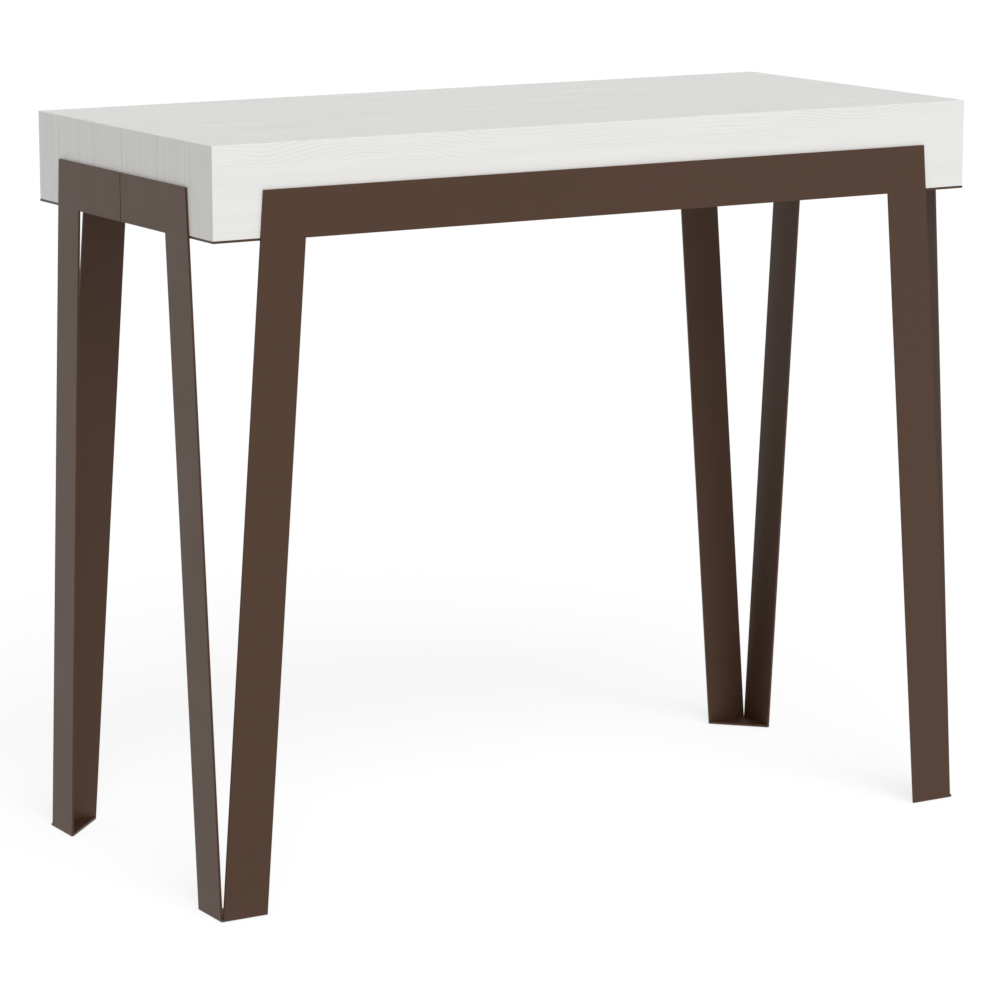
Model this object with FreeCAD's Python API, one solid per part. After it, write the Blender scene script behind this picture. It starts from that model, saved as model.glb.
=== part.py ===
import FreeCAD, Part
import os

# Extending console table, closed. Millimetres: X along the top, Y from front to back, Z up from the
# floor. The box and its legs are split across the middle of the depth. The front half pulls out on two
# sets of side-by-side rails, so that loose leaves can lie on the rails between the halves.

# Whole table
TABLE_HEIGHT = 770.0
BOX_LENGTH = 896.0
BOX_DEPTH = 400.0
BOX_HEIGHT = 91.5
WOOD_SEAM_GAP = 0.2
STEEL_SEAM_GAP = 1.2
OVERRUN = 5.0  # how far a cutting shape reaches past what it cuts

# Wooden box, mitred boards with glued blocks in its corners
BOARD = 18.0
EDGING = 1.0
EDGE_RADIUS = 0.8
BLOCK_LEG = 45.0
BLOCK_SETBACK = 13.5  # underside of the top down to the top of a corner block

# Sheet steel leg frames
SHEET = 2.5
BAND_DROP = 45.0  # top of the table down to the upper edge of the band
STRIP_WIDTH = 49.0
CORNER_INSET = 54.0  # corner of the box in to the upper corner of the band
FLANGE_WIDTH = 60.0
FELT = 1.0
FELT_INSET = 3.0

# Countersunk screws that hold the box to the flange
BASE_SCREW = 4.0
BASE_SCREW_LENGTH = 30.0
BASE_SCREW_HEAD = 8.0
BASE_SCREW_HEAD_HEIGHT = 2.2
BASE_SCREW_LONG_SHARES = (-0.5, 0.0, 0.5)  # of half the box length, along the apron
BASE_SCREW_END_SHARE = 0.4  # of half the box depth, in each end board
BLOCK_SCREW_SHARE = 0.3  # of a corner block's leg, from its square corner
SCREW_FIT = 0.05

# Dowels in the seam of the top
DOWEL = 8.0
DOWEL_LENGTH = 30.0
DOWEL_SHARES = (-0.8, 0.0, 0.8)  # of half the box length
DOWEL_FIT = 0.05
DOWEL_CLEARANCE = 0.3
DOWEL_END_CLEARANCE = 1.0

# Slide rails, a lipped channel with its mouth facing the rail before it
MOVING_STAGES = 5
RAIL_HEIGHT = 42.0
RAIL_DEPTH = 18.0
RAIL_WALL = 2.5
RAIL_MOUTH = 18.0
RAIL_GAP = 0.8
RAIL_END_CLEARANCE = 7.0
RAIL_SET_SHARE = 0.5  # middle of a set of rails, of half the inside length of the box
PACKER = 2.0
PACKER_SETBACK = 6.0

# Runners on the back of each rail, and the stops that they meet
RUNNER_LENGTH = 77.0
RUN_CLEARANCE = 0.3
PEG = 6.0
PEG_SHARES = (0.25, 0.75)  # of the runner's length
STOP = 6.0
STOP_CLEARANCE = 0.5

# Countersunk screws that hold the end rails under the top
RAIL_SCREW = 4.0
RAIL_SCREW_BITE = 12.0
RAIL_SCREW_HEAD = 7.6
RAIL_SCREW_HEAD_HEIGHT = 2.2
RAIL_SCREW_SHARES = (0.3, 0.8)  # of half the rail's length
ACCESS_HOLE = 10.0

# Places that follow from the sizes
OUT_X = BOX_LENGTH / 2
OUT_Y = BOX_DEPTH / 2
IN_X = OUT_X - BOARD
IN_Y = OUT_Y - BOARD
UNDERSIDE = TABLE_HEIGHT - BOARD
BOX_BOTTOM = TABLE_HEIGHT - BOX_HEIGHT
FLANGE_BOTTOM = BOX_BOTTOM - SHEET
WOOD_SEAM = WOOD_SEAM_GAP / 2
STEEL_SEAM = STEEL_SEAM_GAP / 2
BAND_TOP = TABLE_HEIGHT - BAND_DROP
FOOT_TOP = FELT + SHEET
RAIL_TOP = UNDERSIDE - PACKER
RAIL_MIDDLE = RAIL_TOP - RAIL_HEIGHT / 2
RAIL_END = IN_Y - RAIL_END_CLEARANCE
RAIL_PITCH = RAIL_DEPTH + RAIL_GAP
LAST_RAIL = MOVING_STAGES + 1
RAIL_SET_WIDTH = LAST_RAIL * RAIL_PITCH + RAIL_DEPTH
RAIL_SET_START = -IN_X * RAIL_SET_SHARE - RAIL_SET_WIDTH / 2
RUNNER_FRONT = STOP + STOP_CLEARANCE - RAIL_END
STAGE_TRAVEL = -2 * RUNNER_FRONT - RUNNER_LENGTH

ORIGIN = FreeCAD.Vector(0, 0, 0)
ALONG_X = FreeCAD.Vector(1, 0, 0)
ALONG_Y = FreeCAD.Vector(0, 1, 0)
UP = FreeCAD.Vector(0, 0, 1)


def across_x(shape):
    return shape.mirror(ORIGIN, ALONG_X)


def across_y(shape):
    return shape.mirror(ORIGIN, ALONG_Y)


def rectangle(across, along):
    return [(across[0], along[0]), (across[1], along[0]), (across[1], along[1]), (across[0], along[1])]


def at_height(outline, z):
    return [(x, y, z) for x, y in outline]


def at_depth(outline, y):
    return [(x, y, z) for x, z in outline]


def at_side(outline, x):
    return [(x, y, z) for y, z in outline]


def face(points):
    corners = [FreeCAD.Vector(*point) for point in points]
    return Part.Face(Part.makePolygon(corners + corners[:1]))


def prism(points, run):
    return face(points).extrude(run)


def block(x_span, y_span, z_span):
    corner = FreeCAD.Vector(x_span[0], y_span[0], z_span[0])
    return Part.makeBox(x_span[1] - x_span[0], y_span[1] - y_span[0], z_span[1] - z_span[0], corner)


def rod(diameter, start, run):
    return Part.makeCylinder(diameter / 2, run.Length, start, run)


def slab(outer, inner):
    """Solid between two parallel four-cornered faces."""
    sides = [face(outer), face(inner)]
    for here in range(len(outer)):
        after = (here + 1) % len(outer)
        sides.append(face([outer[here], outer[after], inner[after], inner[here]]))
    solid = Part.makeSolid(Part.makeShell(sides))
    if solid.Volume < 0:
        solid.reverse()
    return solid


def rounded_box():
    """Outside of the closed box, with the broken edges of its folds."""
    box = block((-OUT_X, OUT_X), (-OUT_Y, OUT_Y), (BOX_BOTTOM, TABLE_HEIGHT))
    folds = [edge for edge in box.Edges if edge.BoundBox.ZMax > BOX_BOTTOM]
    return box.makeFillet(EDGE_RADIUS, folds)


def mitred_boards():
    """Top, apron and left end of the front half, whole up to the seam."""
    top = slab(
        at_height(rectangle((-OUT_X, OUT_X), (-OUT_Y, -WOOD_SEAM)), TABLE_HEIGHT),
        at_height(rectangle((-IN_X, IN_X), (-IN_Y, -WOOD_SEAM)), UNDERSIDE))
    apron = slab(
        at_depth(rectangle((-OUT_X, OUT_X), (BOX_BOTTOM, TABLE_HEIGHT)), -OUT_Y),
        at_depth(rectangle((-IN_X, IN_X), (BOX_BOTTOM, UNDERSIDE)), -IN_Y))
    left_end = slab(
        at_side(rectangle((-OUT_Y, -WOOD_SEAM), (BOX_BOTTOM, TABLE_HEIGHT)), -OUT_X),
        at_side(rectangle((-IN_Y, -WOOD_SEAM), (BOX_BOTTOM, UNDERSIDE)), -IN_X))
    return [board.common(rounded_box()) for board in (top, apron, left_end)]


def wooden_box():
    """Front half of the box: boards, edging on their seam edges, and corner blocks."""
    seam_zone = block(
        (-OUT_X - OVERRUN, OUT_X + OVERRUN), (-WOOD_SEAM - EDGING, OVERRUN),
        (BOX_BOTTOM - OVERRUN, TABLE_HEIGHT + OVERRUN))
    top, apron, left_end = mitred_boards()
    edging = [top.common(seam_zone), left_end.common(seam_zone)]
    block_outline = [(-IN_X, -IN_Y), (-IN_X + BLOCK_LEG, -IN_Y), (-IN_X, -IN_Y + BLOCK_LEG)]
    block_height = UNDERSIDE - BLOCK_SETBACK - BOX_BOTTOM
    corner_block = prism(at_height(block_outline, BOX_BOTTOM), UP * block_height)
    left_end = left_end.cut(seam_zone)
    return {
        "top_board": [top.cut(seam_zone)],
        "apron": [apron],
        "left_end_board": [left_end],
        "right_end_board": [across_x(left_end)],
        "edge_banding": edging + [across_x(edging[1])],
        "corner_blocks": [corner_block, across_x(corner_block)],
    }


def strip(half):
    """Outline of one leg strip, from the upper corner of its band down to the floor and up inside."""
    lean = CORNER_INSET * (FLANGE_BOTTOM - FOOT_TOP) / (BAND_TOP - FOOT_TOP)
    inside = half - STRIP_WIDTH
    outer_edge = [(half - CORNER_INSET, BAND_TOP), (half, FOOT_TOP)]
    inner_edge = [(inside, FOOT_TOP), (inside - lean, FLANGE_BOTTOM)]
    return outer_edge + inner_edge


def mirrored(outline):
    return [(-across, along) for across, along in reversed(outline)]


def steel_frame():
    """Front half of the welded leg frame: bands with their strips, flange under the box, feet, felt."""
    bridge = prism(at_depth(strip(OUT_X) + mirrored(strip(OUT_X)), -OUT_Y), -ALONG_Y * SHEET)
    seam_edge = [(-STEEL_SEAM, BAND_TOP), (-STEEL_SEAM, FLANGE_BOTTOM)]
    leg_plate = prism(at_side(seam_edge + mirrored(strip(OUT_Y)), -OUT_X), -ALONG_X * SHEET)
    flange_x = OUT_X - FLANGE_WIDTH
    flange_y = OUT_Y - FLANGE_WIDTH
    right_arm = [(OUT_X, -OUT_Y), (OUT_X, -STEEL_SEAM), (flange_x, -STEEL_SEAM), (flange_x, -flange_y)]
    flange = prism(at_height(right_arm + mirrored(right_arm), FLANGE_BOTTOM), UP * SHEET)
    foot_x = OUT_X - STRIP_WIDTH
    foot_y = OUT_Y - STRIP_WIDTH
    steel_x = OUT_X + SHEET
    steel_y = OUT_Y + SHEET
    corner = [(-steel_x, -foot_y), (-steel_x, -steel_y), (-foot_x, -steel_y)]
    hypotenuse = [(-foot_x, -OUT_Y), (-OUT_X, -foot_y)]
    foot = prism(at_height(corner + hypotenuse, FELT), UP * SHEET)
    felt_leg = STRIP_WIDTH - 2 * FELT_INSET
    felt_x = FELT_INSET - steel_x
    felt_y = FELT_INSET - steel_y
    felt_outline = [(felt_x, felt_y), (felt_x + felt_leg, felt_y), (felt_x, felt_y + felt_leg)]
    felt = prism(at_height(felt_outline, 0), UP * FELT)
    return {
        "leg_bridge": [bridge],
        "left_leg_plate": [leg_plate],
        "right_leg_plate": [across_x(leg_plate)],
        "base_flange": [flange],
        "left_foot_plate": [foot],
        "right_foot_plate": [across_x(foot)],
        "foot_pads": [felt, across_x(felt)],
    }


def screw(shank, length, head, head_height, start):
    """Countersunk screw pointing up, with its flat head at the start."""
    cone = Part.makeCone(head / 2, shank / 2, head_height, start, UP)
    return cone.fuse(rod(shank, start, UP * length)).removeSplitter()


def drill(nodes, names, tools):
    """Cut the tools out of every solid of the named nodes."""
    for name in names:
        nodes[name] = [solid.cut(tools) for solid in nodes[name]]


def add_base_screws(nodes):
    """Screws up through the flange into the apron, the end boards and the corner blocks."""
    in_block = BLOCK_LEG * BLOCK_SCREW_SHARE
    places = [(OUT_X * share, -OUT_Y + BOARD / 2) for share in BASE_SCREW_LONG_SHARES]
    for side in (-1, 1):
        places.append((side * (OUT_X - BOARD / 2), -OUT_Y * BASE_SCREW_END_SHARE))
        places.append((side * (IN_X - in_block), in_block - IN_Y))
    starts = [FreeCAD.Vector(x, y, FLANGE_BOTTOM) for x, y in places]
    sizes = (BASE_SCREW, BASE_SCREW_LENGTH, BASE_SCREW_HEAD, BASE_SCREW_HEAD_HEIGHT)
    screws = [screw(*sizes, start) for start in starts]
    pilots = [rod(BASE_SCREW + 2 * SCREW_FIT, start, UP * BASE_SCREW_LENGTH) for start in starts]
    drill(nodes, ["apron", "left_end_board", "right_end_board", "corner_blocks"], pilots)
    drill(nodes, ["base_flange"], pilots + screws)
    nodes["base_screws"] = screws


def add_dowels(front, rear):
    """Dowels glued into the front top board, which enter holes in the rear one."""
    middle = (TABLE_HEIGHT + UNDERSIDE) / 2
    starts = [FreeCAD.Vector(OUT_X * share, -DOWEL_LENGTH / 2, middle) for share in DOWEL_SHARES]
    run = ALONG_Y * DOWEL_LENGTH
    hole_run = ALONG_Y * (DOWEL_LENGTH + DOWEL_END_CLEARANCE)
    boards = ["top_board", "edge_banding"]
    drill(front, boards, [rod(DOWEL + 2 * DOWEL_FIT, start, run) for start in starts])
    drill(rear, boards, [rod(DOWEL + 2 * DOWEL_CLEARANCE, start, hole_run) for start in starts])
    front["dowels"] = [rod(DOWEL, start, run) for start in starts]


def rail_start(place):
    """X of the mouth side of a rail of the left set, counted from the one on the rear half."""
    return RAIL_SET_START + place * RAIL_PITCH


def above_and_below(upper):
    """Whole outline of a rail or runner from its upper half, about the middle of the rails."""
    lower = [(x, -z) for x, z in reversed(upper)]
    return [(x, RAIL_MIDDLE + z) for x, z in upper + lower]


def rail(place):
    """Lipped channel with its mouth facing away from the middle of the table."""
    mouth_x = rail_start(place)
    back_x = mouth_x + RAIL_DEPTH
    lip_x = mouth_x + RAIL_WALL
    web_x = back_x - RAIL_WALL
    outside = RAIL_HEIGHT / 2
    inside = outside - RAIL_WALL
    lip = RAIL_MOUTH / 2
    upper_outside = [(back_x, outside), (mouth_x, outside), (mouth_x, lip)]
    upper_inside = [(lip_x, lip), (lip_x, inside), (web_x, inside)]
    section = above_and_below(upper_outside + upper_inside)
    return prism(at_depth(section, -RAIL_END), ALONG_Y * 2 * RAIL_END)


def runner(place):
    """Block on the back of a rail, near its front end, that runs in the channel of the next rail."""
    back_x = rail_start(place) + RAIL_DEPTH
    neck_x = rail_start(place + 1) + RAIL_WALL + RUN_CLEARANCE
    head_x = rail_start(place + 1) + RAIL_DEPTH - RAIL_WALL - RUN_CLEARANCE
    neck = RAIL_MOUTH / 2 - RUN_CLEARANCE
    head = RAIL_HEIGHT / 2 - RAIL_WALL - RUN_CLEARANCE
    upper = [(back_x, neck), (neck_x, neck), (neck_x, head), (head_x, head)]
    body = prism(at_depth(above_and_below(upper), RUNNER_FRONT), ALONG_Y * RUNNER_LENGTH)
    return body.fuse(pegs(place)).removeSplitter()


def pegs(place):
    """Pegs of a runner, which fill holes in the web of its rail."""
    web_x = rail_start(place) + RAIL_DEPTH - RAIL_WALL
    places = [RUNNER_FRONT + RUNNER_LENGTH * share for share in PEG_SHARES]
    return [rod(PEG, FreeCAD.Vector(web_x, y, RAIL_MIDDLE), ALONG_X * RAIL_WALL) for y in places]


def stops(place):
    """Plugs in both ends of a rail's channel."""
    x_span = (rail_start(place) + RAIL_WALL, rail_start(place) + RAIL_DEPTH - RAIL_WALL)
    inside = RAIL_HEIGHT / 2 - RAIL_WALL
    plug = block(x_span, (-RAIL_END, STOP - RAIL_END), (RAIL_MIDDLE - inside, RAIL_MIDDLE + inside))
    return [plug, across_y(plug)]


def both_sides(solids):
    return solids + [across_x(solid) for solid in solids]


def rail_pair(place):
    """Left and right rail at one place in the sets, with the runners and stops that they carry."""
    left = rail(place)
    nodes = {}
    if place < LAST_RAIL:
        left = left.cut(pegs(place))
        nodes["runners"] = both_sides([runner(place)])
    if place > 0:
        nodes["stops"] = both_sides(stops(place))
    nodes["left_rail"] = [left]
    nodes["right_rail"] = [across_x(left)]
    return nodes


def hang_end_rails(half, place, side):
    """Packers and screws that hold a pair of end rails under their top board; side is -1 at the front."""
    mouth_x = rail_start(place)
    near_and_far = sorted([side * PACKER_SETBACK, side * RAIL_END])
    packer = block((mouth_x, mouth_x + RAIL_DEPTH), near_and_far, (RAIL_TOP, UNDERSIDE))
    length = RAIL_WALL + PACKER + RAIL_SCREW_BITE
    screws, pilots, access = [], [], []
    for share in RAIL_SCREW_SHARES:
        start = FreeCAD.Vector(mouth_x + RAIL_DEPTH / 2, side * RAIL_END * share, RAIL_TOP - RAIL_WALL)
        screws.append(screw(RAIL_SCREW, length, RAIL_SCREW_HEAD, RAIL_SCREW_HEAD_HEIGHT, start))
        pilots.append(rod(RAIL_SCREW + 2 * SCREW_FIT, start, UP * length))
        access.append(rod(ACCESS_HOLE, start, -UP * (RAIL_HEIGHT + OVERRUN)))
    half["slide_packers"] = both_sides([packer])
    half["slide_screws"] = both_sides(screws)
    drill(half, ["top_board", "slide_packers"], both_sides(pilots))
    drill(half, ["left_rail", "right_rail"], both_sides(pilots + screws + access))


def build():
    """Every node of the closed table, by the half or stage that carries it and its own name."""
    front = {**wooden_box(), **steel_frame()}
    add_base_screws(front)
    rear = {name: [across_y(solid) for solid in solids] for name, solids in front.items()}
    add_dowels(front, rear)
    rear.update(rail_pair(0))
    front.update(rail_pair(LAST_RAIL))
    hang_end_rails(rear, 0, 1)
    hang_end_rails(front, LAST_RAIL, -1)
    carriers = {"front": front, "rear": rear}
    for place in range(1, LAST_RAIL):
        carriers[f"stage_{place}"] = rail_pair(place)
    nodes = {}
    for carrier, carried in carriers.items():
        nodes.update({f"{carrier}_{name}": solids for name, solids in carried.items()})
    return nodes


os.makedirs("parts", exist_ok=True)
for node, shapes in build().items():
    parts = [solid for shape in shapes for solid in shape.Solids]
    whole = parts[0] if len(parts) == 1 else Part.makeCompound(parts)
    whole.exportStep(f"parts/{node}.step")
print(f"travel of each stage {STAGE_TRAVEL} mm, whole extension {STAGE_TRAVEL * LAST_RAIL} mm")
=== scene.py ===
"""Dresses the extending console table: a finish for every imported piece, felt glides, weld beads and screws
as meshes of their own, and the studio that the table is pictured in. Lengths are metres."""

import math

import bpy
import numpy as np
from bpy.props import FloatProperty, FloatVectorProperty, PointerProperty
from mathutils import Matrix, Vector


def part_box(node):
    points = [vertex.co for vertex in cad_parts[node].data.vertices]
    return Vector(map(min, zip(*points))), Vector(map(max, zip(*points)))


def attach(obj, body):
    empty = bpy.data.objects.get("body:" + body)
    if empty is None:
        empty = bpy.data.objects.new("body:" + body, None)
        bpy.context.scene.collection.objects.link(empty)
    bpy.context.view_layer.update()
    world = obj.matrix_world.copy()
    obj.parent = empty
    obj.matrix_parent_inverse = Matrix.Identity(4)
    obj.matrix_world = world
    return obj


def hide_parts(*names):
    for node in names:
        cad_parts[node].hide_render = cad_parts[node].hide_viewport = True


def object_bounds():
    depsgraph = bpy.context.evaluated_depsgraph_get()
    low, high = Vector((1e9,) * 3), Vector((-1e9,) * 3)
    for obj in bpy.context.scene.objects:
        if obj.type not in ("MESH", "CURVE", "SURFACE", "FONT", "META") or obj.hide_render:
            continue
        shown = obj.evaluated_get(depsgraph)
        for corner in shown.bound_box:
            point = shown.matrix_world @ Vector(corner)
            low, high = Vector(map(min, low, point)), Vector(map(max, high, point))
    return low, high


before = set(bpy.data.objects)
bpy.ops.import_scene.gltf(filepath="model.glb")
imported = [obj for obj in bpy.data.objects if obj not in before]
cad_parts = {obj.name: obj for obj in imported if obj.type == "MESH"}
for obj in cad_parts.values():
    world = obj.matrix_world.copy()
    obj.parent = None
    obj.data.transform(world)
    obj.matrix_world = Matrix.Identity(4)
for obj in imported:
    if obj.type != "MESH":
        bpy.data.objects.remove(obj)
CAD_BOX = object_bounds()

bl_info = {
    "name": "Extending console table",
    "version": (1, 0, 0),
    "blender": (4, 5, 0),
    "location": "3D View > Sidebar > Console table",
    "description": "Finishes, small hardware and studio of the extending console table",
    "category": "Object",
}

MM = 0.001
HALVES = ("front", "rear")
QUARTER_TURN = math.pi / 2
WHITE = (1, 1, 1)


def linear(hex_digits):
    """sRGB hex digits as linear red, green and blue, by the curve of the sRGB standard."""
    encoded = np.array([int(hex_digits[place:place + 2], 16) for place in (0, 2, 4)]) / 255
    low, high = encoded / 12.92, ((encoded + 0.055) / 1.055) ** 2.4
    return np.where(encoded <= 0.04045, low, high).tolist()


def colour(name, description, hex_digits):
    """Colour that a user can change."""
    return FloatVectorProperty(
        name=name, description=description, default=linear(hex_digits), subtype="COLOR", min=0, max=1)


def size(name, description, millimetres):
    """Length that a user can change."""
    return FloatProperty(
        name=name, description=description, default=millimetres * MM, min=0,
        subtype="DISTANCE", unit="LENGTH")


def angle(name, description, degrees):
    """Angle that a user can change."""
    return FloatProperty(
        name=name, description=description, default=math.radians(degrees), subtype="ANGLE", unit="ROTATION")


def level(name, description, share):
    """Share or strength that a user can change, where 1 is whole."""
    return FloatProperty(
        name=name, description=description, default=share, subtype="FACTOR", min=0, soft_max=1)


def span(name, description, low, high):
    """Lowest and highest share that a user can change."""
    return FloatVectorProperty(
        name=name, description=description, default=(low, high), size=2, min=0, max=1)


class WoodFinish(bpy.types.PropertyGroup):
    """Printed ash on the boards, their edging, and the solid beech inside."""
    pale: colour("Pale ash", "Boards between the growth lines", "F5F4F2")
    line: colour("Growth lines", "Growth lines and pores of the boards", "DADAD6")
    board_roughness: span("Board roughness", "From the pale wood to the lines", 0.5, 0.62)
    line_spacing: size("Growth line spacing", "One growth line to the next", 3.4)
    good_years: size("Good years", "Bands of stronger and weaker growth lines", 6)
    pore_length: size("Pore length", "Pore streaks along the board", 70)
    pore_width: size("Pore width", "Pore streaks across the board", 1.8)
    edging: colour("Edge banding", "Band glued to the edges at the seam", "E8E8E5")
    edging_roughness: span("Edging roughness", "Across the drawn lines of the banding", 0.42, 0.6)
    edging_line: size("Edging line", "Drawn lines across the edge banding", 1.5)
    edging_run: size("Edging run", "Run of a drawn line along the edge banding", 150)
    beech: colour("Beech", "Corner blocks and dowels", "D9B48A")
    beech_fleck: colour("Beech flecks", "Short dark flecks in the beech", "B98A5C")
    fleck_length: size("Fleck length", "Flecks along the grain of the beech", 8)
    fleck_width: size("Fleck width", "Flecks across the grain of the beech", 1.5)


class SteelFinish(bpy.types.PropertyGroup):
    """Powder coat of the leg frames, and the welds under it."""
    coat: colour("Brown coat", "Powder coat of the leg frames", "301E12")
    coat_thin: colour("Thin coat", "Coat where the powder lies thinner", "342115")
    gloss_tint: colour("Gloss tint", "Tint of the coat's gloss", "FFD6C0")
    coat_roughness: span("Coat roughness", "From patch to patch of the coat", 0.44, 0.54)
    patch: size("Patch", "Patches where the powder lies thinner", 60)
    peel: size("Orange peel", "One ripple of the coat to the next", 3)
    bead_leg: size("Bead", "Leg of a weld bead on each wall", 2.5)
    dab: size("Dab", "One dab of a weld bead to the next", 2.2)


class SlideFinish(bpy.types.PropertyGroup):
    """Rails, runners, stops and packers of the slides."""
    aluminium: colour("Aluminium", "Rails of the slides", "B9BCBF")
    aluminium_line: colour("Die lines", "Lines left by the die along a rail", "9A9EA2")
    aluminium_roughness: span("Aluminium roughness", "Across the die lines of a rail", 0.28, 0.46)
    die_line: size("Die line width", "One die line across a rail", 1.2)
    die_run: size("Die line length", "Run of a die line along a rail", 600)
    nylon: colour("Nylon", "Runners and stops", "E4E1D8")
    nylon_haze: colour("Nylon haze", "Duller clouds in the nylon", "D8D4C8")
    nylon_roughness: span("Nylon roughness", "From cloud to cloud of the nylon", 0.35, 0.6)
    cloud: size("Nylon cloud", "Clouds in the nylon", 15)
    grit: size("Nylon grit", "Grit that the mould leaves on the nylon", 0.8)
    fibre: colour("Pressed fibre", "Packers above the end rails", "8A7358")
    fibre_dark: colour("Fibre bundles", "Darker bundles in the packers", "5E4C38")
    bundle_length: size("Bundle length", "Bundles of fibres in the packers, along", 3)
    bundle_width: size("Bundle width", "Bundles of fibres in the packers, across", 1.2)


class FixingFinish(bpy.types.PropertyGroup):
    """Screws and felt glides."""
    zinc: colour("Zinc", "Plating of the screws", "C3C6C9")
    zinc_shade: colour("Zinc shade", "Duller patches of the plating", "9EA3A8")
    zinc_roughness: span("Zinc roughness", "From patch to patch of the plating", 0.22, 0.48)
    zinc_cloud: size("Zinc cloud", "Patches of the plating", 2)
    thread_pitch: size("Thread pitch", "One turn of a screw's thread", 1.8)
    thread_depth: size("Thread depth", "Crest of the thread down to the core", 0.5)
    socket: size("Socket", "Six-sided socket in a screw head, across its flats", 2.5)
    socket_depth: size("Socket depth", "Depth of that socket", 1.4)
    felt: colour("Felt", "Glides under the feet", "5A5148")
    felt_fibre: colour("Felt fibres", "Paler fibres in the glides", "8A7F73")
    fibre_length: size("Fibre length", "Fibres of the felt, along", 4)
    fibre_width: size("Fibre width", "Fibres of the felt, across", 0.7)
    felt_rounding: size("Felt rounding", "Corner radius of a glide", 3)


class StudioSetup(bpy.types.PropertyGroup):
    """Light, floor and viewpoint of the picture."""
    floor_colour: colour("Floor", "Plain pale floor", "FAFAFA")
    floor_whitening: level("Floor whitening", "Share of plain white in the floor as it is seen", 0.7)
    floor_white: level("Floor white", "Strength of that white, which just makes the open floor white", 1.15)
    sky: level("Sky", "Light from all round, where 1 shows a colour as written", 0.3)
    key: level("Key lamp", "Lamp square to a surface, where 1 shows a colour as written", 0.63)
    key_azimuth: angle("Key azimuth", "Lamp's place round the table, from front to right", -8)
    key_elevation: angle("Key elevation", "Lamp's height above the horizon", 45)
    key_spread: angle("Key spread", "Width of the lamp as the table sees it", 40)
    view_azimuth: angle("View azimuth", "Camera's place round the table, from front to right", -30.79)
    view_elevation: angle("View elevation", "Camera's height above the horizon", 11.3)
    view_distance: size("View distance", "Camera to the point that it looks at", 4204)
    aim_left: size("Aim left", "Point looked at, left of the table's middle", 8)
    aim_down: size("Aim down", "Point looked at, below the table's middle", 38.6)
    lens: FloatProperty(
        name="Lens", description="Focal length of the camera", default=141.0, unit="CAMERA", min=1)


def add_node(tree, kind, settings, output=0):
    """Add a node, set its properties and inputs, link the inputs that are given as outputs of other nodes,
    and return one of its own outputs."""
    node = tree.nodes.new(kind)
    for key, value in settings.items():
        if isinstance(key, str) and hasattr(node, key):
            setattr(node, key, value)
        elif isinstance(value, bpy.types.NodeSocket):
            tree.links.new(value, node.inputs[key])
        elif node.inputs[key].type == "RGBA":
            node.inputs[key].default_value = (*value, 1)
        else:
            node.inputs[key].default_value = value
    return node.outputs[output] if node.outputs else None


def new_finish(name):
    """Empty material, its node tree and the place on the object in metres."""
    material = bpy.data.materials.new(name)
    material.use_nodes = True
    tree = material.node_tree
    tree.nodes.clear()
    return material, tree, add_node(tree, "ShaderNodeTexCoord", {}, "Object")


def blotches(tree, place, sizes, detail):
    """Cloudy values round 0.5 whose blotches measure about these sizes along X, Y and Z."""
    counts = [1 / length for length in sizes]
    spread = add_node(tree, "ShaderNodeVectorMath", {"operation": "MULTIPLY", 0: place, 1: counts})
    return add_node(tree, "ShaderNodeTexNoise", {"Vector": spread, "Scale": 1.0, "Detail": detail})


def two_tones(tree, share, first, second, settings):
    """Shader that goes from the first colour to the second with the share, joined to the output."""
    # A Mix node has an input and an output of each type, so those for colours go by their places
    base = add_node(tree, "ShaderNodeMix", {"data_type": "RGBA", 0: share, 6: first, 7: second}, 2)
    shader = add_node(tree, "ShaderNodeBsdfPrincipled", {"Base Color": base, **settings})
    add_node(tree, "ShaderNodeOutputMaterial", {"Surface": shader})


# Noise gathers round its middle. Its values between these limits are spread over the whole range, for marks
# that cover half of a surface, softly half of it, less than half, or only a few places
EVEN_MARKS = {"From Min": 0.35, "From Max": 0.65}
SOFT_MARKS = {"From Min": 0.3, "From Max": 0.7}
FEWER_MARKS = {"From Min": 0.35, "From Max": 0.7}
SPARSE_MARKS = {"From Min": 0.45, "From Max": 0.75}

# Wave bands repeat every twentieth of a full turn at a scale of 1
WAVE_TURN = 2 * math.pi / 20

# Share of a growth line's strength by which the wood is lighter between the lines, and darker on them
LINE_SWING = {"To Min": -0.4, "To Max": 0.6}
# Strength that the lines keep in the weakest years, and where they are most broken
WEAK_YEAR = 0.4
BROKEN_LINE = 0.25
# Weight of the pores beside the streaks, limits of their sum, and share of line colour that this lies round
PORE_WEIGHT = 0.5
HAZE_LIMITS = {"From Min": 0.5, "From Max": 1.0}
HAZE_MIDDLE = 0.25

TABLE_TOP = CAD_BOX[1].z

# Boards by the endings of their nodes' names. The turn lays the grain along X and the width along Y. The
# arches of the growth lines have a length and a width, and sway that far from the straight. Between the two
# places of the fade, across the width, the lines go from their first strength to their second. The streaks
# have a length, a width and a strength. An apron's width is upright, so its fade is measured from the top.
BOARDS = {
    "top_board": {
        "turn": (0, 0, 0), "arch": (700 * MM, 130 * MM), "sway": 150 * MM,
        "fade": (-200 * MM, 200 * MM), "lines": (0.7, 0.7), "streak": (130 * MM, 7 * MM), "streaks": 0.35},
    "apron": {
        "turn": (-QUARTER_TURN, 0, 0), "arch": (120 * MM, 90 * MM), "sway": 40 * MM,
        "fade": (TABLE_TOP - 35 * MM, TABLE_TOP - 13 * MM), "lines": (0.1, 0.6),
        "streak": (160 * MM, 7 * MM), "streaks": 0.2},
    "end_board": {
        "turn": (0, QUARTER_TURN, 0), "arch": (700 * MM, 130 * MM), "sway": 120 * MM,
        "fade": (-200 * MM, 200 * MM), "lines": (0.15, 0.15),
        "streak": (130 * MM, 5 * MM), "streaks": 0.34},
}


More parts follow.
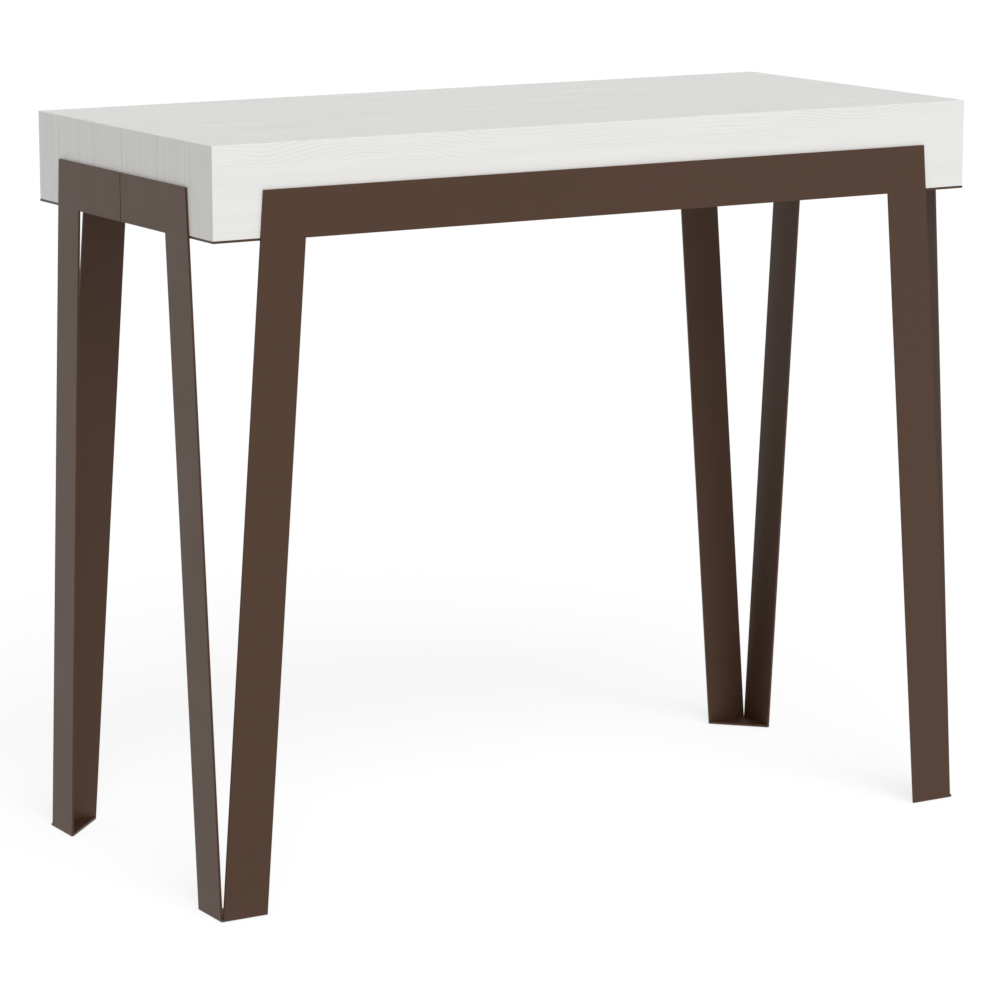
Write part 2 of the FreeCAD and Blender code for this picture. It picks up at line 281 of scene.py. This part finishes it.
def white_ash_melamine(name, turn, arch, sway, fade, lines, streak, streaks):
    """Paper printed with whitened ash, soaked in resin and pressed on chipboard: pale and low in contrast,
    with arched growth lines between quieter streaks, and a silky gloss that the pressed pores break up."""
    wood = bpy.context.scene.console_wood
    material, tree, place = new_finish(name)
    grain = add_node(tree, "ShaderNodeMapping", {"Vector": place, "Rotation": turn})
    arches = blotches(tree, grain, (arch[0], arch[1], arch[1]), detail=1.0)
    swayed = add_node(tree, "ShaderNodeVectorMath", {
        "operation": "MULTIPLY_ADD", 0: arches, 1: (0, sway, 0), 2: grain})
    yearly = add_node(tree, "ShaderNodeTexWave", {
        "bands_direction": "Y", "Vector": swayed, "Scale": WAVE_TURN / wood.line_spacing}, "Fac")
    centred = add_node(tree, "ShaderNodeMapRange", {"Value": yearly, **LINE_SWING})
    ring = add_node(tree, "ShaderNodeSeparateXYZ", {"Vector": swayed}, "Y")
    years = add_node(tree, "ShaderNodeTexNoise", {
        "noise_dimensions": "1D", "W": ring, "Scale": 1 / wood.good_years, "Detail": 2.0})
    strength = add_node(tree, "ShaderNodeMapRange", {"Value": years, **FEWER_MARKS, "To Min": WEAK_YEAR})
    growth = add_node(tree, "ShaderNodeMath", {"operation": "MULTIPLY", 0: centred, 1: strength})
    across = add_node(tree, "ShaderNodeSeparateXYZ", {"Vector": grain}, "Y")
    plain = add_node(tree, "ShaderNodeMapRange", {
        "interpolation_type": "SMOOTHSTEP", "Value": across, "From Min": fade[0], "From Max": fade[1],
        "To Min": lines[0], "To Max": lines[1]})
    # Pores of ash are 0.3 mm wide, too fine to show, so they are drawn as wider streaks
    pores = blotches(tree, grain, (wood.pore_length, wood.pore_width, wood.pore_width), detail=3.0)
    bands = blotches(tree, grain, (streak[0], streak[1], streak[1]), detail=3.0)
    broken = add_node(tree, "ShaderNodeMapRange", {"Value": bands, **EVEN_MARKS, "To Min": BROKEN_LINE})
    faint = add_node(tree, "ShaderNodeMath", {"operation": "MULTIPLY", 0: plain, 1: broken})
    both = add_node(tree, "ShaderNodeMath", {
        "operation": "MULTIPLY_ADD", 0: pores, 1: PORE_WEIGHT, 2: bands})
    haze = add_node(tree, "ShaderNodeMapRange", {
        "Value": both, **HAZE_LIMITS,
        "To Min": HAZE_MIDDLE - streaks / 2, "To Max": HAZE_MIDDLE + streaks / 2})
    tone = add_node(tree, "ShaderNodeMath", {"operation": "MULTIPLY_ADD", 0: growth, 1: faint, 2: haze})
    smooth, rough = wood.board_roughness
    gloss = add_node(tree, "ShaderNodeMapRange", {"Value": tone, "To Min": smooth, "To Max": rough})
    relief = add_node(tree, "ShaderNodeBump", {
        "invert": True, "Strength": 0.25, "Distance": 0.1 * MM, "Height": tone})
    two_tones(tree, tone, wood.pale, wood.line, {
        "Roughness": gloss, "Specular IOR Level": 0.35, "Normal": relief})
    return material


def white_edge_banding():
    """ABS band, extruded and glued on: white, with faint drawn lines along its length and a dull gloss."""
    wood = bpy.context.scene.console_wood
    material, tree, place = new_finish("abs_edge_banding_extruded")
    lines = blotches(tree, place, (wood.edging_run, wood.edging_line, wood.edging_line), detail=2.0)
    shade = add_node(tree, "ShaderNodeMapRange", {"Value": lines, **SOFT_MARKS})
    smooth, rough = wood.edging_roughness
    gloss = add_node(tree, "ShaderNodeMapRange", {"Value": lines, "To Min": smooth, "To Max": rough})
    two_tones(tree, shade, wood.edging, wood.line, {"Roughness": gloss})
    return material


def planed_beech():
    """Beech, planed and left raw: pinkish tan with short darker ray flecks along the grain, matt."""
    wood = bpy.context.scene.console_wood
    material, tree, place = new_finish("beech_planed")
    # Flecks are about 3 mm long and half a millimetre wide, drawn about three times as large to show
    flecks = blotches(tree, place, (wood.fleck_width, wood.fleck_width, wood.fleck_length), detail=3.0)
    shade = add_node(tree, "ShaderNodeMapRange", {"Value": flecks, **SPARSE_MARKS})
    relief = add_node(tree, "ShaderNodeBump", {"invert": True, "Distance": 0.1 * MM, "Height": shade})
    two_tones(tree, shade, wood.beech, wood.beech_fleck, {"Roughness": 0.65, "Normal": relief})
    return material


def brown_powder_coat():
    """Polyester powder, sprayed on the welded sheet steel and baked: dark brown and half glossy, with a
    shallow orange peel that ripples the reflections, and patches where it lies thinner."""
    steel = bpy.context.scene.console_steel
    material, tree, place = new_finish("steel_powder_coated_brown")
    patches = blotches(tree, place, (steel.patch,) * 3, detail=2.0)
    # The peel of such a coat is about 1 mm from ripple to ripple, drawn wider to show
    peel = blotches(tree, place, (steel.peel,) * 3, detail=1.0)
    smooth, rough = steel.coat_roughness
    gloss = add_node(tree, "ShaderNodeMapRange", {"Value": patches, "To Min": smooth, "To Max": rough})
    relief = add_node(tree, "ShaderNodeBump", {"Strength": 0.3, "Distance": 0.05 * MM, "Height": peel})
    two_tones(tree, patches, steel.coat, steel.coat_thin, {
        "Roughness": gloss, "Specular IOR Level": 0.75, "Specular Tint": steel.gloss_tint,
        "Normal": relief})
    return material


def extruded_aluminium():
    """Aluminium, pressed through a die and left as it comes: grey metal with fine straight lines along its
    length, which stretch the reflections across them."""
    slides = bpy.context.scene.console_slides
    material, tree, place = new_finish("aluminium_extruded")
    # Die lines are a few hundredths of a millimetre wide, drawn wider to show
    lines = blotches(tree, place, (slides.die_line, slides.die_run, slides.die_line), detail=3.0)
    shade = add_node(tree, "ShaderNodeMapRange", {"Value": lines, **EVEN_MARKS})
    smooth, rough = slides.aluminium_roughness
    gloss = add_node(tree, "ShaderNodeMapRange", {"Value": lines, "To Min": smooth, "To Max": rough})
    relief = add_node(tree, "ShaderNodeBump", {"Strength": 0.3, "Distance": 0.05 * MM, "Height": lines})
    two_tones(tree, shade, slides.aluminium, slides.aluminium_line, {
        "Metallic": 1.0, "Roughness": gloss, "Normal": relief})
    return material


def moulded_nylon():
    """Nylon, injection moulded and unpainted: warm white, slightly see-through, finely eroded."""
    slides = bpy.context.scene.console_slides
    material, tree, place = new_finish("nylon_moulded")
    # Grit of a mould is under a tenth of a millimetre, drawn coarser to show
    grit = blotches(tree, place, (slides.grit,) * 3, detail=2.0)
    clouds = blotches(tree, place, (slides.cloud,) * 3, detail=1.0)
    smooth, rough = slides.nylon_roughness
    gloss = add_node(tree, "ShaderNodeMapRange", {"Value": clouds, "To Min": smooth, "To Max": rough})
    relief = add_node(tree, "ShaderNodeBump", {"Strength": 0.2, "Distance": 0.05 * MM, "Height": grit})
    two_tones(tree, clouds, slides.nylon, slides.nylon_haze, {
        "Roughness": gloss, "Subsurface Weight": 0.1, "Subsurface Scale": MM, "Normal": relief})
    return material


def pressed_fibre():
    """Hardboard, wood fibres wetted and pressed hot: brown, matt, with tangled darker bundles."""
    slides = bpy.context.scene.console_slides
    material, tree, place = new_finish("hardboard_pressed")
    # Bundles are about half a millimetre wide, drawn wider to show
    across = slides.bundle_width
    bundles = blotches(tree, place, (slides.bundle_length, across, across), detail=4.0)
    shade = add_node(tree, "ShaderNodeMapRange", {"Value": bundles, **FEWER_MARKS})
    relief = add_node(tree, "ShaderNodeBump", {"Strength": 0.5, "Distance": 0.1 * MM, "Height": bundles})
    two_tones(tree, shade, slides.fibre, slides.fibre_dark, {"Roughness": 0.75, "Normal": relief})
    return material


def zinc_plated_steel():
    """Steel, plated in a zinc bath: bright bluish grey with cloudy duller patches."""
    fixings = bpy.context.scene.console_fixings
    material, tree, place = new_finish("steel_zinc_plated")
    clouds = blotches(tree, place, (fixings.zinc_cloud,) * 3, detail=3.0)
    smooth, rough = fixings.zinc_roughness
    gloss = add_node(tree, "ShaderNodeMapRange", {"Value": clouds, "To Min": smooth, "To Max": rough})
    two_tones(tree, clouds, fixings.zinc, fixings.zinc_shade, {"Metallic": 1.0, "Roughness": gloss})
    return material


def pressed_felt():
    """Wool felt, needled and pressed: dark, without gloss, with paler fibres that lie every way and a nap
    that catches light at its rim."""
    fixings = bpy.context.scene.console_fixings
    material, tree, place = new_finish("wool_felt_pressed")
    # Wool fibres are a few hundredths of a millimetre thick, drawn thicker to show
    fine, long = fixings.fibre_width, fixings.fibre_length
    lying = blotches(tree, place, (long, fine, fine), detail=4.0)
    crossing = blotches(tree, place, (fine, long, fine), detail=4.0)
    tangle = add_node(tree, "ShaderNodeMath", {"operation": "MAXIMUM", 0: lying, 1: crossing})
    shade = add_node(tree, "ShaderNodeMapRange", {"Value": tangle, **SPARSE_MARKS})
    relief = add_node(tree, "ShaderNodeBump", {"Strength": 0.8, "Distance": 0.2 * MM, "Height": tangle})
    two_tones(tree, shade, fixings.felt, fixings.felt_fibre, {
        "Roughness": 0.95, "Sheen Weight": 0.3, "Specular IOR Level": 0.2, "Normal": relief})
    return material


def dress(finish, *endings):
    """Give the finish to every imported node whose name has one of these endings."""
    found = [node for name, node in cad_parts.items() if name.endswith(endings)]
    if not found:
        raise RuntimeError(f"no packed node has a name that ends in {endings}")
    for node in found:
        for material_slot in node.material_slots:
            material_slot.material = finish


def node_points(name):
    """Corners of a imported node's mesh, one to a row."""
    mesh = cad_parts[name].data
    points = np.empty(3 * len(mesh.vertices), np.float32)
    mesh.vertices.foreach_get("co", points)
    return points.reshape(-1, 3).astype(float)


def apart(points, axis, gap):
    """Groups of points that lie more than this gap from each other along one axis."""
    ordered = points[np.argsort(points[:, axis])]
    breaks = np.flatnonzero(np.diff(ordered[:, axis]) > gap) + 1
    return np.split(ordered, breaks)


def skin(grid, first):
    """Faces over a grid of points whose rows close into rings: quads from ring to ring and a flat cap on
    each end ring. The grid's points are numbered row by row from the first."""
    rows, columns = grid.shape[:2]
    number = first + np.arange(rows * columns).reshape(rows, columns)
    beside = np.roll(number, -1, axis=1)
    quads = np.stack([number[:-1], beside[:-1], beside[1:], number[1:]], axis=-1)
    return [*quads.reshape(-1, 4).tolist(), number[0, ::-1].tolist(), number[-1].tolist()]


# Faces that meet at more than this keep a sharp edge between them
SHARP_EDGE = math.radians(35)


def new_piece(name, grids, finish, body, replaced=()):
    """Mesh of one or more closed grids, which rides on a body and takes its finish from a slot."""
    points, faces, count = [], [], 0
    for grid in grids:
        points.append(grid.reshape(-1, 3))
        faces += skin(grid, count)
        count += len(points[-1])
    mesh = bpy.data.meshes.new(name)
    mesh.from_pydata(np.concatenate(points), [], faces)
    mesh.shade_smooth()
    mesh.set_sharp_from_angle(angle=SHARP_EDGE)
    mesh.materials.append(finish)
    piece = bpy.data.objects.new(name, mesh)
    bpy.context.scene.collection.objects.link(piece)
    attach(piece, body)
    for node in replaced:
        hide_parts(node)
    return piece


# Rows of points along each dab of a bead, points across it, how far its crests trail back in the middle in
# dabs, how deep it ripples as a share of its leg, and the least square of the share that its ends keep
DAB_ROWS = 6
BEAD_POINTS = 9
CREST_TRAIL = 0.6
RIPPLE = 0.14
END_SQUARE = 0.05


def weld_bead(start, end, wall_one, wall_two):
    """Bead in the corner of two walls. Rows run along the joint, and each is the corner and a quarter circle
    round it from wall to wall. The radius is the leg of the bead less a ripple of half waves, one for each
    dab, whose crests trail back in the middle, and it closes like an ellipse at both ends."""
    steel = bpy.context.scene.console_steel
    start, end, wall_one, wall_two = (np.array(part, float) for part in (start, end, wall_one, wall_two))
    run = end - start
    length = np.linalg.norm(run)
    if np.dot(np.cross(wall_one, wall_two), run) < 0:
        wall_one, wall_two = wall_two, wall_one
    dabs = round(length / steel.dab)
    along = np.linspace(0, 1, DAB_ROWS * dabs + 1)[:, None]
    turn = np.linspace(0, QUARTER_TURN, BEAD_POINTS)[None, :]
    crest = np.abs(np.sin(np.pi * (along * dabs - CREST_TRAIL * np.sin(2 * turn))))
    to_end = np.minimum(along, 1 - along) * length / steel.bead_leg
    closing = np.sqrt(np.clip(1 - (1 - np.minimum(to_end, 1)) ** 2, END_SQUARE, 1))
    radius = (steel.bead_leg * closing * (1 - RIPPLE + RIPPLE * crest))[..., None]
    corner = (start + along * run)[:, None, :]
    arc = corner + radius * (np.cos(turn)[..., None] * wall_one + np.sin(turn)[..., None] * wall_two)
    return np.concatenate([corner, arc], axis=1)


# How far a bead keeps from the edges of its strip, in its own legs, and how far points of one height differ
BEAD_MARGIN = 2
SAME_HEIGHT = 0.1 * MM


def flange_welds(half):
    """Beads under the flange at the heads of the leg strips. Each is as long as its strip is wide at the
    foot, less a margin at both ends."""
    margin = BEAD_MARGIN * bpy.context.scene.console_steel.bead_leg
    (left, front, flange_bottom), (right, back, _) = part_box(f"{half}_base_flange")
    bridge_side = front if half == "front" else back
    inward = 1 if half == "front" else -1
    foot_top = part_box(f"{half}_left_foot_plate")[1][2]
    beads = []
    for side, end_name in ((left, "left"), (right, "right")):
        aside = math.copysign(1, side)
        runs = (
            (f"{half}_leg_bridge", 0, aside, np.array([0, bridge_side, 0]), (0, inward, 0)),
            (f"{half}_{end_name}_leg_plate", 1, -inward, np.array([side, 0, 0]), (-aside, 0, 0)),
        )
        for node, axis, out, wall, into in runs:
            points = node_points(node)
            reach = points[:, axis] * out
            at_foot = reach[np.isclose(points[:, 2], foot_top, atol=SAME_HEIGHT) & (reach > 0)]
            under_flange = np.isclose(points[:, 2], flange_bottom, atol=SAME_HEIGHT)
            at_head = reach[under_flange & (reach > margin)]
            width = at_foot.max() - at_foot.min()
            unit = np.eye(3)[axis] * out
            base = wall + np.array([0, 0, flange_bottom]) + unit * at_head.min()
            beads.append(weld_bead(base + unit * margin, base + unit * (width - margin), into, (0, 0, -1)))
    return beads


# Points round a ring of a screw, rows of rings to a pitch, how steeply the ridge falls off in depths to a
# pitch, length of the tip in radii, share of the radius that is left at its end, and decimals of a metre by
# which the levels of a plain screw are told apart
RING_POINTS = 24
PITCH_ROWS = 8
RIDGE_SLOPE = 3
TIP_LENGTH = 4
TIP_END = 0.12
LEVEL_DECIMALS = 6


def screw(points):
    """Countersunk screw in the place of a plain one, pointing up from its flat head. Rows are rings along
    its outline, from the floor of the socket out over the head and up the shank to the tip. A ring's radius
    is a hexagon's in the socket, a circle's on the head, and on the shank a core with a ridge that climbs a
    pitch each turn."""
    fixings = bpy.context.scene.console_fixings
    low, high = points.min(axis=0), points.max(axis=0)
    centre = np.array([*(low + high)[:2] / 2, low[2]])
    length, head = (high - low)[2], (high - low)[0] / 2
    crest = np.ptp(points[points[:, 2] > high[2] - fixings.thread_depth][:, 0]) / 2
    head_height = np.unique(points[:, 2].round(LEVEL_DECIMALS))[1] - low[2]
    turn = np.linspace(0, 2 * np.pi, RING_POINTS, endpoint=False)
    side = 2 * np.pi / 6
    flat = fixings.socket / 2 / np.cos((turn + side / 2) % side - side / 2)
    core = crest - fixings.thread_depth
    step = fixings.thread_pitch / PITCH_ROWS
    climb = np.arange(head_height, length, step)[:, None]
    from_crest = np.abs((climb / fixings.thread_pitch - turn / (2 * np.pi)) % 1 - 0.5)
    ridge = np.clip(1 - RIDGE_SLOPE * from_crest, 0, 1)
    taper = np.clip((length - climb) / (TIP_LENGTH * crest), TIP_END, 1)
    threaded = (core + fixings.thread_depth * ridge) * taper
    rings = [flat, flat, np.full_like(turn, head), np.full_like(turn, crest)]
    radius = np.concatenate([np.stack(rings), threaded])
    head_heights = np.array([[fixings.socket_depth], [0], [0], [head_height]])
    height = np.minimum(np.concatenate([head_heights, climb + step]), length)
    height = np.broadcast_to(height, radius.shape)
    return centre + np.stack([radius * np.cos(turn), radius * np.sin(turn), height], axis=-1)


# Points round a ring of a glide, and rows of rings up its rim
GLIDE_POINTS = 60
RIM_ROWS = 7


def felt_glide(points):
    """Three-cornered glide with one square corner. Each ring is the corner farthest along each direction,
    pulled in by the rounding towards the middle of the largest circle that fits, plus the rounding along
    that direction. The rings draw in along a half circle at the rim."""
    rounding = bpy.context.scene.console_fixings.felt_rounding
    low, high = points.min(axis=0), points.max(axis=0)
    thickness = high[2] - low[2]
    square = np.where(np.abs(low) > np.abs(high), low, high)[:2]
    others = np.where(np.abs(low) > np.abs(high), high, low)[:2]
    corners = np.array([square, (others[0], square[1]), (square[0], others[1])])
    # The largest circle's radius is a leg of the glide less the root of half the leg's square
    inscribed = np.abs(others - square).mean() * (1 - math.sqrt(0.5))
    centre = square + np.sign(others - square) * inscribed
    pulled_in = centre + (corners - centre) * (1 - rounding / inscribed)
    turn = np.linspace(0, 2 * np.pi, GLIDE_POINTS, endpoint=False)
    outward = np.stack([np.cos(turn), np.sin(turn)], axis=-1)
    farthest = pulled_in[np.argmax(outward @ pulled_in.T, axis=1)]
    rim = np.linspace(-QUARTER_TURN, QUARTER_TURN, RIM_ROWS)[:, None, None]
    plan = farthest + outward * (rounding - thickness / 2 * (1 - np.cos(rim)))
    height = np.broadcast_to(low[2] + thickness / 2 * (1 + np.sin(rim)), (*plan.shape[:2], 1))
    return np.concatenate([plan, height], axis=-1)


class CONSOLE_OT_boards(bpy.types.Operator):
    """Face the tops, aprons and ends with white ash melamine"""
    bl_idname = "console_table.boards"
    bl_label = "Face the boards"

    def execute(self, context):
        for ending, board in BOARDS.items():
            dress(white_ash_melamine(f"white_ash_melamine_pressed_{ending}", **board), ending)
        return {"FINISHED"}


class CONSOLE_OT_box_fittings(bpy.types.Operator):
    """Finish the edge banding, corner blocks and dowels of the box"""
    bl_idname = "console_table.box_fittings"
    bl_label = "Finish the box fittings"

    def execute(self, context):
        dress(white_edge_banding(), "edge_banding")
        dress(planed_beech(), "corner_blocks", "dowels")
        return {"FINISHED"}


class CONSOLE_OT_leg_frames(bpy.types.Operator):
    """Coat the leg frames and add the weld beads under their flanges"""
    bl_idname = "console_table.leg_frames"
    bl_label = "Coat and weld the leg frames"

    def execute(self, context):
        coat = brown_powder_coat()
        dress(coat, "leg_bridge", "leg_plate", "base_flange", "foot_plate")
        for half in HALVES:
            new_piece(
                f"{half}_flange_welds", flange_welds(half), coat, f"{half}_half")
        return {"FINISHED"}


class CONSOLE_OT_slides(bpy.types.Operator):
    """Finish the rails, runners, stops and packers of the slides"""
    bl_idname = "console_table.slides"
    bl_label = "Finish the slides"

    def execute(self, context):
        dress(extruded_aluminium(), "_rail")
        dress(moulded_nylon(), "runners", "stops")
        dress(pressed_fibre(), "slide_packers")
        return {"FINISHED"}


# Gaps that part the screws of one node, and the pads of one node
SCREW_GAP = 10 * MM
PAD_GAP = 200 * MM


class CONSOLE_OT_screws(bpy.types.Operator):
    """Replace the plain screws with threaded ones that have a socket"""
    bl_idname = "console_table.screws"
    bl_label = "Make the screws"

    def execute(self, context):
        zinc = zinc_plated_steel()
        for half in HALVES:
            for node in (f"{half}_base_screws", f"{half}_slide_screws"):
                grids = [screw(points)
                         for column in apart(node_points(node), 0, SCREW_GAP)
                         for points in apart(column, 1, SCREW_GAP)]
                new_piece(f"{node}_threaded", grids, zinc, f"{half}_half", [node])
        return {"FINISHED"}


class CONSOLE_OT_glides(bpy.types.Operator):
    """Replace the plain pads under the feet with rounded felt glides"""
    bl_idname = "console_table.glides"
    bl_label = "Make the felt glides"

    def execute(self, context):
        felt = pressed_felt()
        for half in HALVES:
            node = f"{half}_foot_pads"
            grids = [felt_glide(points) for points in apart(node_points(node), 0, PAD_GAP)]
            glides = new_piece(f"{half}_felt_glides", grids, felt, f"{half}_half", [node])
        return {"FINISHED"}


def seen_directly(tree):
    """1 for rays that show a surface to the eye, by itself, in gloss or through glass, and else 0."""
    rays = add_node(tree, "ShaderNodeLightPath", {}).node.outputs
    either = add_node(tree, "ShaderNodeMath", {
        "operation": "MAXIMUM", 0: rays["Is Camera Ray"], 1: rays["Is Glossy Ray"]})
    return add_node(tree, "ShaderNodeMath", {
        "operation": "MAXIMUM", 0: either, 1: rays["Is Transmission Ray"]})


def white_sky(studio):
    """World that lights at the sky's level and shows as white."""
    world = bpy.data.worlds.new("white_sky")
    world.use_nodes = True
    tree = world.node_tree
    tree.nodes.clear()
    lights = add_node(tree, "ShaderNodeBackground", {"Color": WHITE, "Strength": studio.sky})
    shows = add_node(tree, "ShaderNodeBackground", {"Color": WHITE, "Strength": 1.0})
    sky = add_node(tree, "ShaderNodeMixShader", {0: seen_directly(tree), 1: lights, 2: shows})
    add_node(tree, "ShaderNodeOutputWorld", {"Surface": sky})
    return world


def pale_floor(studio):
    """Matt floor paint that keeps shadows, is lifted to white where it is seen, and is clear from below."""
    material, tree, _ = new_finish("floor_painted_matt")
    paint = add_node(tree, "ShaderNodeBsdfDiffuse", {"Color": studio.floor_colour})
    white = add_node(tree, "ShaderNodeEmission", {"Color": WHITE, "Strength": studio.floor_white})
    share = add_node(tree, "ShaderNodeMath", {
        "operation": "MULTIPLY", 0: seen_directly(tree), 1: studio.floor_whitening})
    upper = add_node(tree, "ShaderNodeMixShader", {0: share, 1: paint, 2: white})
    below = add_node(tree, "ShaderNodeNewGeometry", {}, "Backfacing")
    clear = add_node(tree, "ShaderNodeBsdfTransparent", {})
    both_sides = add_node(tree, "ShaderNodeMixShader", {0: below, 1: upper, 2: clear})
    add_node(tree, "ShaderNodeOutputMaterial", {"Surface": both_sides})
    return material


def round_about(azimuth, elevation):
    """Direction out to a place round the table, from the front to the right, and above the horizon."""
    level_reach = math.cos(elevation)
    return Vector((
        math.sin(azimuth) * level_reach, -math.cos(azimuth) * level_reach, math.sin(elevation)))


def stand(name, data, place, direction):
    """Put a lamp or camera at a place, looking back along the direction."""
    thing = bpy.data.objects.new(name, data)
    bpy.context.scene.collection.objects.link(thing)
    thing.location = place
    thing.rotation_euler = (-direction).to_track_quat("-Z", "Y").to_euler()
    return thing


# The floor reaches this many times the table's diagonal each way, and lies just under the glides
FLOOR_REACH = 20
FLOOR_CLEARANCE = 0.1 * MM


class CONSOLE_OT_studio(bpy.types.Operator):
    """Lay the floor, set the sky and the lamp, and stand the camera at the photograph's view"""
    bl_idname = "console_table.studio"
    bl_label = "Set up the studio"

    def execute(self, context):
        scene = context.scene
        studio = scene.console_studio
        scene.view_settings.view_transform = "Standard"
        scene.world = white_sky(studio)
        low, high = CAD_BOX
        middle = (low + high) / 2
        across = np.array([[-1, -1], [1, -1], [1, 1], [-1, 1]]) * FLOOR_REACH * (high - low).length
        corners = np.column_stack([across, np.full(len(across), low.z - FLOOR_CLEARANCE)])
        floor_mesh = bpy.data.meshes.new("floor")
        floor_mesh.from_pydata(corners, [], [(0, 1, 2, 3)])
        floor_mesh.materials.append(pale_floor(studio))
        floor = bpy.data.objects.new("floor", floor_mesh)
        scene.collection.objects.link(floor)
        key = bpy.data.lights.new("key_lamp", "SUN")
        # A sun of strength pi shows a matt colour that faces it as it is written
        key.energy = studio.key * math.pi
        key.angle = studio.key_spread
        key_way = round_about(studio.key_azimuth, studio.key_elevation)
        stand("key_lamp", key, middle + key_way * studio.view_distance, key_way)
        camera = bpy.data.cameras.new("camera")
        camera.lens = studio.lens
        view_way = round_about(studio.view_azimuth, studio.view_elevation)
        leftward = Vector((-math.cos(studio.view_azimuth), -math.sin(studio.view_azimuth), 0))
        aim = middle + leftward * studio.aim_left - Vector((0, 0, studio.aim_down))
        scene.camera = stand("camera", camera, aim + view_way * studio.view_distance, view_way)
        return {"FINISHED"}


GROUPS = {
    "console_wood": WoodFinish,
    "console_steel": SteelFinish,
    "console_slides": SlideFinish,
    "console_fixings": FixingFinish,
    "console_studio": StudioSetup,
}
OPERATORS = (
    CONSOLE_OT_boards, CONSOLE_OT_box_fittings, CONSOLE_OT_leg_frames, CONSOLE_OT_slides,
    CONSOLE_OT_screws, CONSOLE_OT_glides, CONSOLE_OT_studio,
)


class CONSOLE_PT_table(bpy.types.Panel):
    """Steps and settings of the console table"""
    bl_label = "Console table"
    bl_space_type = "VIEW_3D"
    bl_region_type = "UI"
    bl_category = "Console table"

    def draw(self, context):
        for operator in OPERATORS:
            self.layout.operator(operator.bl_idname)
        for name, group in GROUPS.items():
            settings = self.layout.box()
            for setting in group.__annotations__:
                settings.prop(getattr(context.scene, name), setting)


CLASSES = (*GROUPS.values(), *OPERATORS, CONSOLE_PT_table)


def register():
    """Make the classes known, and hang the settings on the scene."""
    for made in CLASSES:
        bpy.utils.register_class(made)
    for name, group in GROUPS.items():
        setattr(bpy.types.Scene, name, PointerProperty(type=group))


def unregister():
    """Take the settings off the scene, and the classes away."""
    for name in GROUPS:
        delattr(bpy.types.Scene, name)
    for made in reversed(CLASSES):
        bpy.utils.unregister_class(made)


def main():
    """Dress the table and set up the studio that it is pictured in."""
    register()
    bpy.ops.console_table.boards()
    bpy.ops.console_table.box_fittings()
    bpy.ops.console_table.leg_frames()
    bpy.ops.console_table.slides()
    bpy.ops.console_table.screws()
    bpy.ops.console_table.glides()
    bpy.ops.console_table.studio()


if __name__ == "__main__":
    main()
